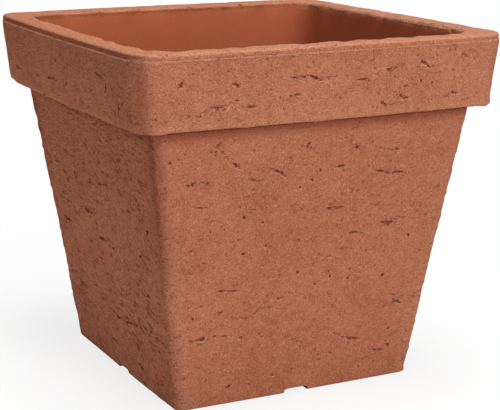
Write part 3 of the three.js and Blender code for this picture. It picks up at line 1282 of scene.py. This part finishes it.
    def mark_at_random(self, side: Side, pits: int, tears: int, seed: int) -> None:
        """Scatters hollows over a side.

        Args:
            side: The side.
            pits: Number of round pits.
            tears: Number of tears.
            seed: Seed of their places.
        """
        rng = np.random.default_rng(seed)
        for index in range(pits + tears):
            z = rng.uniform(8 * MM, self.height - 12 * MM)
            half = self.band_half(z) if z >= self.rim_underside else self.outer_half(z)
            start = side.outward() * half + side.along() * (rng.uniform(-0.93, 0.93) * half)
            start.z = z
            end, widths, depths = start, self.pit_sizes, self.pit_depths
            if index >= pits:
                widths, depths = self.tear_widths, self.tear_depths
                length = rng.uniform(*self.tear_lengths) * MM
                slant = math.radians(rng.normal(0, self.tear_slant))
                end = start + (side.along() * math.cos(slant) + Vector((0, 0, math.sin(slant)))) * length
            width, depth = rng.uniform(*widths) * MM, rng.uniform(*depths) * MM
            self.hollows.append(Hollow(start, end, side.outward(), width, depth))

    @staticmethod
    def refine(mesh: Mesh, hollows: Sequence[Hollow], margin: float) -> None:
        """Gives the skin finer faces round hollows.

        Args:
            mesh: The skin.
            hollows: The hollows that need them.
            margin: How far beyond a hollow's edge they go.
        """
        with edited(mesh) as work:
            work.faces.ensure_lookup_table()
            centres = np.array([face.calc_center_median() for face in work.faces])
            small = np.array([len(face.verts) <= 6 for face in work.faces])
            chosen = np.zeros(len(centres), bool)
            for hollow in hollows:
                away = centres - hollow.middle()
                length, direction, _ = hollow.frame()
                along = away @ direction
                beyond = np.maximum(np.abs(along) - length / 2, 0)
                side = np.linalg.norm(away - np.outer(along, direction), axis=1)
                chosen |= (np.hypot(beyond, side) < hollow.width / 2 + margin) & small
            edges = {edge for index in np.flatnonzero(chosen) for edge in work.faces[index].edges}
            bmesh.ops.subdivide_edges(work, edges=list(edges), cuts=2, use_grid_fill=True)

    def build(self, clay: bpy.types.Material) -> None:
        """Builds and dresses the pot.

        Args:
            clay: The clay material.
        """
        pot = self.loft()
        apply_tool(pot, self.drain_tool(), ToolUse.CUT)
        self.mark_from_picture(Side.FRONT, FRONT_PITS, FRONT_TEARS)
        self.mark_from_picture(Side.LEFT, LEFT_PITS, LEFT_TEARS)
        self.mark_lip(Side.RIGHT, RIGHT_LIP_TEARS)
        pictured = list(self.hollows)
        for index, side in enumerate(Side):
            marks = self.seen_marks if side in (Side.FRONT, Side.LEFT) else self.hidden_marks
            self.mark_at_random(side, *marks, self.seed + index)
        self.refine(pot.data, self.hollows, self.coarse_margin)
        self.refine(pot.data, pictured, self.fine_margin)
        skin = ClaySkin(pot.data, self)
        skin.raise_clay()
        skin.press(self.hollows)
        skin.write()
        with edited(pot.data) as work:
            bmesh.ops.triangulate(work, faces=[face for face in work.faces if len(face.verts) > 4])
            soften(work, self.sharp_edge)
            open_edges = sum(not edge.is_manifold for edge in work.edges)
        pot.data.materials.clear()
        pot.data.materials.append(clay)
        pot.data.calc_loop_triangles()
        LOG.info("pot: %d triangles, %d open edges", len(pot.data.loop_triangles), open_edges)
        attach(pot, "pot")
        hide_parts("pot_shell")


@dataclass(frozen=True)
class ClayRelief:
    """How far the clay strays from the form of its mould, in millimetres.

    Cells are the sizes of the patterns behind it. The shakes and the wander move the
    edges of hollows along the skin, and the rest moves it in or out. The last seven are
    no distances: where the brim of a hollow rises and how broadly, both in half widths
    of the hollow, and shares and factors of the relief.
    """

    wave_cell: float = 62
    lump_cell: Triple = (15, 15, 9)
    small_lump_cell: float = 6.5
    crumb_cell: float = 3.4
    corner_crumb_cell: float = 4.8
    lip_wave_cell: Triple = (13, 13, 60)
    lip_ripple_cell: float = 5
    torn_cell: Triple = (12, 12, 40)
    finely_torn_cell: float = 4.5
    ridge_cell: Triple = (9, 9, 40)
    shake_along_cell: float = 3.1
    shake_across_cell: float = 2.7
    wander_cell: float = 8
    patch_cell: float = 5.5
    speck_cell: Triple = (2.2, 2.2, 1.3)
    body_wave: float = 0.45
    band_wave: float = 0.22
    band_settle: float = 0.08
    lump: float = 0.22
    small_lump: float = 0.13
    crumb: float = 0.11
    corner_crumb: float = 0.36
    top_flare: float = 1.3
    low_flare: float = 1.0
    blunt_corner: float = 2.8
    lip_wave: float = 0.35
    lip_ripple: float = 0.15
    lip_settle: float = 0.12
    shoulder_drop: float = 0.6
    torn_edge: float = 0.8
    coarse_torn_edge: float = 0.2
    torn_settle: float = 0.4
    broken_ridge: float = 0.6
    brim: float = 0.55
    shake_along: float = 0.7
    shake_across: float = 0.6
    wander: float = 0.9
    brim_at: float = 1.2
    brim_width: float = 0.28
    scoop: float = 0.8
    inner_calm: float = 0.85
    rough_corner: float = 1.1
    rough_band_edge: float = 0.6
    rough_low_edge: float = 0.5


@dataclass(frozen=True)
class ClayTones:
    """How strongly dust, painted highlights, painted shade and coarse clay show in each place, as shares."""

    corner_dust_and_highlight: float = 0.30
    band_dust_and_highlight: float = 0.12
    band_edge_dust_and_highlight: float = 0.25
    lip_dust_and_highlight: float = 0.8
    brim_highlight_share: float = 1.7
    ridge_highlight: float = 1.0
    coarse_ridge_highlight: float = 0.6
    most_dust_and_highlight: float = 1.6
    # Painted shade: on the lip's strip, at the corners and under the band.
    strip_shade: float = 0.7
    corner_shade: float = 0.5
    under_band_shade_share: float = 0.8
    coarse_band: float = 0.55
    coarse_body: float = 1.15


@dataclass(frozen=True)
class ZoneLimits:
    """Between which distances each zone of the clay sets in.

    They are millimetres from the edge, corner or height that the zone belongs to.
    """

    lip: Pair = (-7, -4.5)
    lip_inner: Pair = (-8, -18)
    within_wall: Pair = (-2, 2)
    over_floor: Pair = (8, 12)
    coarse_side: Pair = (-14, 10)
    corner: Pair = (-24, -8)
    turning: Pair = (-34, -18)
    far_corner: Pair = (-60, -20)
    low_edge: Pair = (14, 2)
    band_edge: Pair = (7, 2)
    ridge: Pair = (6, 2)
    flare: Pair = (-45, -8)
    blunt_end: Pair = (12, -2)
    # Where the painted shade line under the band sets in.
    seam: Pair = (-6, -2.2)
    # Where the painted shadow under the band and the painted corner shade set in.
    under_band_shade: Pair = (-20, 0)
    corner_shade_height: Pair = (60, 260)


class ClaySkin:
    """The points of the pot's mesh, the zones they lie in, and what the clay does to them.

    A number added to the points takes a pattern from another place of its lattice.
    """

    def __init__(self, mesh: Mesh, pot: PotShell) -> None:
        """Reads the points and finds their zones.

        Args:
            mesh: The pot's mesh.
            pot: The pot, which holds the sizes.
        """
        count = len(mesh.vertices)
        points, normals = np.empty(count * 3), np.empty(count * 3, np.float32)
        mesh.vertices.foreach_get("co", points)
        mesh.vertex_normals.foreach_get("vector", normals)
        self.mesh, self.pot = mesh, pot
        self.relief, self.tones, self.limits = ClayRelief(), ClayTones(), ZoneLimits()
        self.points = points.reshape(count, 3)
        self.normals = normals.reshape(count, 3).astype(float)
        self.wide, self.mid, self.fine = (LatticeNoise(pot.seed + k) for k in range(3))
        self.lift, self.hollow, self.brim_highlight = np.zeros((3, count))
        self._find_faces()
        self._find_edges()

    def _find_faces(self) -> None:
        """Works out on which faces of the pot the points lie."""
        pot, limits, (x, y, z) = self.pot, self.limits, self.points.T
        across = np.maximum(np.abs(x), np.abs(y))
        self.band = z > pot.rim_underside
        self.lip = rise(z, pot.height, limits.lip)
        self.lip_inner = self.lip * rise(across, pot.rim_half, limits.lip_inner)
        self.lip_outer = self.lip * (1 - self.lip_inner)
        within = rise(pot.outer_half(z) - 5 * MM - across, 0, limits.within_wall)
        self.inside = within * rise(z, 0, limits.over_floor) * (1 - self.lip)
        self.outside = 1 - self.inside
        self.level = np.hypot(self.normals[:, 0], self.normals[:, 1])
        underside = smooth_step(-self.normals[:, 2], 0.5, 0.9) * (z < pot.rim_underside - 10 * MM)
        drained = (z < pot.floor_thickness + 1 * MM) & (across < pot.outer_half(0) - 4 * MM)
        self.still = np.maximum(underside, drained.astype(float))
        left, back = -x - np.abs(y), y - np.abs(x)
        self.coarse = rise(left, 0, limits.coarse_side) + rise(back, 0, limits.coarse_side)

    def _find_edges(self) -> None:
        """Works out how near the points lie to the pot's corners and edges."""
        pot, limits, (x, y, z) = self.pot, self.limits, self.points.T
        beside = np.minimum(np.abs(x), np.abs(y))
        half = np.where(z >= pot.rim_underside, pot.band_half(z), pot.outer_half(z))
        self.corner = rise(beside, half, limits.corner) * self.outside
        self.turning = rise(beside, half, limits.turning)
        self.far_corner = rise(y - x, 2 * half, limits.far_corner)
        self.low_edge = rise(z, 0, limits.low_edge) * (1 - self.still)
        self.band_edge = rise(np.abs(z - pot.rim_underside - 2 * MM), 0, limits.band_edge)
        from_ridge = np.abs(z - (pot.height - pot.parting_drop))
        self.near_ridge = rise(from_ridge, 0, limits.ridge)
        self.on_ridge = from_ridge < pot.parting_height * 0.55
        self.broken = smooth_step(self.fine.at(self.points, self.relief.ridge_cell), 0.3, 0.7)

    def raise_clay(self) -> None:
        """Lifts the skin into waves, lumps, crumbs and worn edges."""
        relief, points = self.relief, self.points
        waves = self.wide.at(points, relief.wave_cell)
        waves = np.where(self.band, waves * relief.band_wave - relief.band_settle, waves * relief.body_wave)
        lumps = self.mid.at(points, relief.lump_cell) * relief.lump
        lumps += self.fine.at(points, relief.small_lump_cell) * relief.small_lump
        crumbs = self.mid.at(points + 0.31, relief.crumb_cell) * relief.crumb
        body_corner = self.corner * (points[:, 2] < self.pot.rim_underside)
        crumbs += self.mid.at(points + 0.77, relief.corner_crumb_cell) * relief.corner_crumb * body_corner
        rough = 1 + relief.rough_corner * self.corner + relief.rough_band_edge * self.band_edge
        rough += relief.rough_low_edge * self.low_edge
        lift = waves + (lumps + crumbs) * rough * (1 - self.near_ridge) + self._corner_form()
        lift = lift * (1 - relief.inner_calm * self.inside) + self._lip_form()
        lift = np.where(self.on_ridge, waves - relief.broken_ridge * self.broken, lift)
        self.lift = lift * (1 - self.still)

    def _corner_form(self) -> np.ndarray:
        """The flare of the band's corners, and the blunt lower end of its far left one.

        Returns:
            The lift in millimetres.
        """
        pot, relief, z = self.pot, self.relief, self.points[:, 2]
        low = rise(z, pot.rim_underside, self.limits.blunt_end)
        flare = relief.top_flare * rise(z, pot.height, self.limits.flare) + relief.low_flare * self.band_edge
        blunted = relief.blunt_corner * self.far_corner * low * self.outside
        return (self.turning * flare - blunted) * (z > pot.rim_underside - 1 * MM)

    def _lip_form(self) -> np.ndarray:
        """The waves of the lip's outer edge and the tears of its inner one.

        Returns:
            The lift in millimetres.
        """
        relief, points = self.relief, self.points
        wave = self.wide.at(points + 0.23, relief.lip_wave_cell) * relief.lip_wave
        wave += self.fine.at(points, relief.lip_ripple_cell) * relief.lip_ripple
        shoulder = smooth_step(self.level, 0.2, 0.6) * smooth_step(self.normals[:, 2], 0.2, 0.6)
        drop = relief.lip_settle + relief.shoulder_drop * shoulder * (1 - self.coarse)
        torn = self.wide.at(points + 0.17, relief.torn_cell)
        torn += 0.7 * self.fine.at(points, relief.finely_torn_cell)
        tear = np.clip(torn * 1.4, -1.0, 1.0) * (relief.torn_edge + relief.coarse_torn_edge * self.coarse)
        return self.lip_outer * (wave - drop) + self.lip_inner * (tear - relief.torn_settle)

    def press(self, marks: Sequence[Hollow]) -> None:
        """Presses pits and tears into the skin, each with a raised brim below it that is painted pale as a
        highlight.

        Args:
            marks: The hollows, in order.
        """
        relief, points = self.relief, self.points
        shake_a = self.mid.at(points, relief.shake_along_cell) * relief.shake_along * MM
        shake_b = self.fine.at(points, relief.shake_across_cell) * relief.shake_across * MM
        wander = self.wide.at(points, relief.wander_cell) * relief.wander * MM
        patchy = 0.55 + 0.50 * smooth_step(self.fine.at(points + 0.41, relief.patch_cell), -0.35, 0.45)
        specks = smooth_step(self.mid.at(points + 0.53, relief.speck_cell), -0.30, 0.30)
        for mark in marks:
            away = points - mark.middle()
            facing = self.normals @ np.array(mark.outward) > 0.2
            close = np.flatnonzero((np.linalg.norm(away, axis=1) < mark.reach() + 2 * MM) & facing)
            length, direction, upward = mark.frame()
            half = mark.width / 2
            shake = min(1.2, mark.width / (2 * MM))
            a = away[close] @ direction + shake_a[close] * shake
            b = away[close] @ upward + shake_b[close] * shake + wander[close] * min(1.0, length / (12 * MM))
            span = np.hypot(a / (length / 2 + half), b / half)
            bowl = np.clip(1 - span**2, 0, 1)
            skew = np.clip(0.75 + 0.35 * b / half, 0.3, 1.1)
            if length > 0:
                strength = patchy[close] * (0.35 + 0.65 * specks[close])
            else:
                strength = 0.85 + 0.15 * specks[close]
            deep = min(1.0, 0.3 + mark.depth / (2 * MM)) * strength
            lower = smooth_step(-b, -0.1 * mark.width, 0.4 * mark.width)
            brim = np.exp(-(((span - relief.brim_at) / relief.brim_width) ** 2)) * lower
            sunk = relief.scoop * bowl * skew * mark.depth / MM
            self.lift[close] += (relief.brim * brim - sunk) * strength
            # The hollow share later darkens the colour: partly crust, partly painted shade in the recess.
            self.hollow[close] = np.maximum(self.hollow[close], np.sqrt(bowl) * deep)
            # Painted highlight on the lower brim, where light from above falls.
            self.brim_highlight[close] = np.maximum(self.brim_highlight[close], brim * strength * deep)

    def write(self) -> None:
        """Moves the mesh's points and keeps on them the zones that the finish needs."""
        moved = self.points + self.normals * self.lift[:, None] * MM
        low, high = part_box("pot_shell")
        moved = np.clip(moved, np.array(low), np.array(high))
        self.mesh.vertices.foreach_set("co", moved.ravel())
        z, under = self.points[:, 2], self.pot.rim_underside
        below = z < under + 0.1 * MM
        # Painted shade: a dark line in the crease just under the band, carried in the hollow zone.
        seam = rise(z, under, self.limits.seam) * below * self.outside
        coarseness = np.where(self.band, self.tones.coarse_band, self.tones.coarse_body)
        coarse = self.coarse * self.outside * (1 - self.lip) * coarseness
        hollow, wear = np.maximum(self.hollow, seam), self._wear() * self.outside
        for name, shares in zip(CLAY_ZONES, (self.inside, hollow, wear, coarse, self._painted_shade(below))):
            layer = self.mesh.attributes.new(name, "FLOAT", "POINT")
            layer.data.foreach_set("value", shares.astype(np.float32))
        self.mesh.update()

    def _painted_shade(self, below: np.ndarray) -> np.ndarray:
        """Painted shade: the lip's strip darker on the coarse, shaded sides, a painted core shadow at the
        corners that fades towards the base, and a painted shadow under the band.

        Args:
            below: Which points lie below the band.

        Returns:
            Its shares.
        """
        tones, z, under = self.tones, self.points[:, 2], self.pot.rim_underside
        strip = self.lip * smooth_step(self.level, 0.8, 0.97)
        high = rise(z, 0, self.limits.corner_shade_height)
        corner = self.corner * high * (1 - self.lip) * (0.35 + 0.65 * self.coarse)
        under_band_shade = rise(z, under, self.limits.under_band_shade) * below
        painted_shade = np.maximum(tones.strip_shade * strip * self.coarse, tones.corner_shade * corner)
        return np.maximum(painted_shade, tones.under_band_shade_share * under_band_shade) * self.outside

    def _wear(self) -> np.ndarray:
        """The pale, dusty clay at corners, edges and the lip, with painted highlights: corners and band paler
        on their lit sides, the lip paler where it faces up, and the hollows' brims and the parting line
        painted pale.

        Returns:
            Its shares.
        """
        tones, fair = self.tones, 1 - self.coarse
        # Painted highlights besides dust: corners and band paler on the lit fine sides, the lip paler where
        # it faces up.
        facing_up = smooth_step(self.normals[:, 2], 0.2, 0.7)
        band_edge = tones.band_edge_dust_and_highlight * self.band_edge * self.level * (1 - 0.7 * self.coarse)
        wear = tones.corner_dust_and_highlight * self.corner * fair + band_edge
        wear += tones.lip_dust_and_highlight * self.lip * facing_up * (1 - 0.4 * self.coarse)
        wear += tones.band_dust_and_highlight * self.band * self.level * fair + tones.brim_highlight_share * self.brim_highlight
        # Painted highlight: the parting ridge painted pale as a bright line, more on the shaded coarse sides.
        ridge = self.on_ridge * (1 - self.broken) * smooth_step(self.level, 0.3, 0.8)
        ridge = ridge * (tones.ridge_highlight + tones.coarse_ridge_highlight * self.coarse)
        return np.clip(np.maximum(wear, ridge), 0, tones.most_dust_and_highlight)


# The drain plugs


@dataclass
class DrainPlug:
    """A push-in rubber stopper with a flange and a pull tab with an eye."""

    name: str
    turn: float
    hole_radius: float = 7 * MM
    clearance: float = 0.3 * MM
    taper: float = 0.5 * MM
    shank_length: float = 8.3 * MM
    shoulder: float = 0.25 * MM
    flange_overlap: float = 4.5 * MM
    flange_thickness: float = 2.6 * MM
    flange_round: float = 0.8 * MM
    flange_bevel: float = 0.3 * MM
    dish_edge: float = 2.0 * MM
    dish_slope: float = 0.6 * MM
    dish_depth: float = 0.35 * MM
    tab_width: float = 11 * MM
    tab_height: float = 12 * MM
    tab_thickness: float = 3.6 * MM
    eye_diameter: float = 5 * MM
    tab_round: float = 0.7 * MM
    offset: float = 62 * MM
    seat: float = 14.3 * MM
    segments: int = 64
    sharp_edge: float = math.radians(50)

    def stopper_profile(self) -> list[Pair]:
        """The outline round the shank and flange, from the tip to the top.

        Returns:
            Radius and height of its points.
        """
        top = self.hole_radius - self.clearance
        tip = top - self.taper
        flange, thick = self.hole_radius + self.flange_overlap, self.flange_thickness
        soft, bevel = self.flange_round, self.flange_bevel
        steps = (QUARTER_TURN / 3, QUARTER_TURN * 2 / 3, QUARTER_TURN)
        low = -self.shank_length
        profile = [(0.0, low), (tip - soft, low)]
        profile += [(tip - soft + soft * math.sin(t), low + soft - soft * math.cos(t)) for t in steps]
        profile += [(top, -bevel), (top + self.shoulder, 0.0), (flange - bevel, 0.0), (flange, bevel)]
        profile += [
            (flange - soft + soft * math.cos(t), thick - soft + soft * math.sin(t)) for t in (0.0, *steps)
        ]
        dish, dish_top = thick - self.dish_depth, flange - self.dish_edge
        return [*profile, (dish_top, thick), (dish_top - self.dish_slope, dish), (0.0, dish)]

    def tab_reach(self, angle: float) -> float:
        """How far the tab's outline is from the eye's centre.

        Args:
            angle: The angle from level.

        Returns:
            The distance.
        """
        half = self.tab_width / 2
        if math.sin(angle) >= 0:
            return half
        down = self.tab_height - half + self.flange_thickness / 2
        sideways = half / max(abs(math.cos(angle)), 1e-6)
        return min(sideways, down / max(-math.sin(angle), 1e-6))

    def build(self, rubber: bpy.types.Material) -> None:
        """Builds and dresses the plug at its drain.

        Args:
            rubber: The rubber material.
        """
        mesh = bpy.data.meshes.new(f"plug_moulding_{self.name}")
        cosine, sine = math.cos(self.turn), math.sin(self.turn)
        place = Vector((self.offset * cosine, self.offset * sine, self.seat))
        with edited(mesh) as work:
            self._add_stopper(work)
            self._add_tab(work)
            for vertex in work.verts:
                x, y, z = vertex.co
                vertex.co = place + Vector((x * cosine - y * sine, x * sine + y * cosine, z))
            bmesh.ops.recalc_face_normals(work, faces=work.faces)
            soften(work, self.sharp_edge)
        mesh.materials.append(rubber)
        plug = make_object(f"plug_moulding_{self.name}", mesh)
        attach(plug, f"{self.name}_plug")
        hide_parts(f"drain_plug_{self.name}")

    def _angles(self) -> list[float]:
        """Even angles round a full turn."""
        return [2 * math.pi * k / self.segments for k in range(self.segments)]

    def _add_stopper(self, work: Faces) -> None:
        """Turns the stopper's profile round its axis.

        Args:
            work: The plug's faces.
        """
        rings = []
        for radius, z in self.stopper_profile():
            angles = self._angles() if radius > 0.0 else [0.0]
            rings.append([work.verts.new((radius * math.cos(t), radius * math.sin(t), z)) for t in angles])
        for low, high in zip(rings, rings[1:]):
            for k in range(self.segments):
                n = (k + 1) % self.segments
                if len(low) == 1:
                    work.faces.new((low[0], high[n], high[k]))
                elif len(high) == 1:
                    work.faces.new((low[k], low[n], high[0]))
                else:
                    work.faces.new((low[k], low[n], high[n], high[k]))

    def _add_tab(self, work: Faces) -> None:
        """Adds the pull tab as a closed band round its eye, with softened edges.

        Args:
            work: The plug's faces.
        """
        eye_z = self.flange_thickness + self.tab_height - self.tab_width / 2
        half, soft, eye = self.tab_thickness / 2, self.tab_round, self.eye_diameter / 2
        steps = [QUARTER_TURN * k / 3 for k in range(4)]
        bands = []
        for angle in self._angles():
            reach = self.tab_reach(angle)
            section = [(reach - soft + soft * math.cos(t), half - soft + soft * math.sin(t)) for t in steps]
            section += [(eye + soft - soft * math.sin(t), half - soft + soft * math.cos(t)) for t in steps]
            section += [(r, -y) for r, y in reversed(section)]
            points = [(r * math.cos(angle), y, eye_z + r * math.sin(angle)) for r, y in section]
            bands.append([work.verts.new(point) for point in points])
        size = len(bands[0])
        for first, second in zip(bands, bands[1:] + bands[:1]):
            for j in range(size):
                n = (j + 1) % size
                work.faces.new((first[j], first[n], second[n], second[j]))


# Floor and light


@dataclass(frozen=True)
class SoftLamp:
    """A large soft lamp that looks at the pot."""

    name: str
    place: Triple
    target: Triple
    width: float
    height: float
    watts: float

    def build(self) -> None:
        """Hangs the lamp."""
        data = bpy.data.lights.new(self.name, "AREA")
        data.shape = "RECTANGLE"
        data.size, data.size_y = self.width, self.height
        data.energy = self.watts
        make_looker(self.name, data, self.place, Vector(self.target) - Vector(self.place))


@dataclass(frozen=True)
class Studio:
    """A plain white floor and soft studio light from the front right."""

    floor_size: float = 60.0
    floor_shade: float = 0.65
    seen_shade: float = 0.20
    seen_glow: float = 0.81
    white_from: float = 0.30
    white_beyond: float = 0.85
    sky: float = 0.13
    lamps: tuple[SoftLamp, ...] = (
        SoftLamp("key", (0.45, -3.85, 1.50), (0.0, 0.0, 0.20), 1.6, 2.6, 101.0),
        SoftLamp("rim", (-1.6, 2.9, 1.5), (0.0, 0.0, 0.25), 1.4, 1.1, 2.5),
        SoftLamp("top", (0.12, -0.30, 3.0), (0.0, 0.0, 0.30), 1.5, 1.5, 77.0),
        SoftLamp("fill", (-3.1, 0.9, 0.25), (0.0, 0.0, 0.08), 1.0, 0.4, 3.6),
        SoftLamp("bounce", (-0.52, 0.0, 0.04), (-0.14, 0.0, 0.04), 0.5, 0.06, 0.70),
    )

    def build(self) -> None:
        """Builds the floor, the sky and the lamps."""
        for lamp in self.lamps:
            lamp.build()
        self._build_floor()
        self._build_sky()
        bpy.context.scene.view_settings.view_transform = "Standard"

    def _build_floor(self) -> None:
        """Lays the floor; the camera sees it white, with the pot's shadow near the pot."""
        half = self.floor_size / 2
        mesh = bpy.data.meshes.new("studio_floor")
        corners = [(-half, -half, 0), (half, -half, 0), (half, half, 0), (-half, half, 0)]
        mesh.from_pydata(corners, [], [(0, 1, 2, 3)])
        floor = make_object("studio_floor", mesh)
        sheet = NodeSheet(bpy.data.materials.new("studio_floor"))
        distance = sheet.node("ShaderNodeVectorMath", {0: sheet.place()}, operation="LENGTH")
        far = Value(sheet, distance.outputs["Value"]).step(self.white_from, self.white_beyond)
        plain, pale = (
            sheet.node("ShaderNodeBsdfDiffuse", {"Color": sheet.opaque((shade,) * 3)})
            for shade in (self.floor_shade, self.seen_shade)
        )
        glow = sheet.node("ShaderNodeEmission", {"Strength": self.seen_glow})
        white = sheet.node("ShaderNodeEmission", {"Strength": 1.0})
        near = sheet.node("ShaderNodeAddShader", {0: pale, 1: glow})
        seen = sheet.node("ShaderNodeMixShader", {0: far, 1: near, 2: white})
        path = sheet.node("ShaderNodeLightPath")
        camera, glossy, clear = (
            Value(sheet, path.outputs[f"Is {kind} Ray"]) for kind in ("Camera", "Glossy", "Transmission")
        )
        looked_at = camera.most(glossy).most(clear)
        shader = sheet.node("ShaderNodeMixShader", {0: looked_at, 1: plain, 2: seen})
        mesh.materials.append(sheet.finish(shader))

    def _build_sky(self) -> None:
        """Gives even light from all round, seen as plain white."""
        world = bpy.data.worlds.new("studio_sky")
        bpy.context.scene.world = world
        sheet = NodeSheet(world, "ShaderNodeOutputWorld")
        seen = sheet.node("ShaderNodeLightPath").outputs["Is Camera Ray"]
        level = sheet.node("ShaderNodeMapRange", {"Value": seen, "To Min": self.sky, "To Max": 1.0})
        sheet.finish(sheet.node("ShaderNodeBackground", {"Strength": level}))


def main() -> None:
    """Builds the planter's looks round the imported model."""
    logging.basicConfig(level=logging.INFO, format="%(name)s: %(message)s")
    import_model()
    camera = PhotoCamera()
    camera.build()
    Studio().build()
    LOG.info("studio ready")
    PotShell(camera).build(Terracotta().material())
    rubber = PlugRubber().material()
    for index, name in enumerate(("right", "back", "left", "front")):
        DrainPlug(name, index * QUARTER_TURN).build(rubber)
        LOG.info("drain plug %s ready", name)


if __name__ == "__main__":
    main()
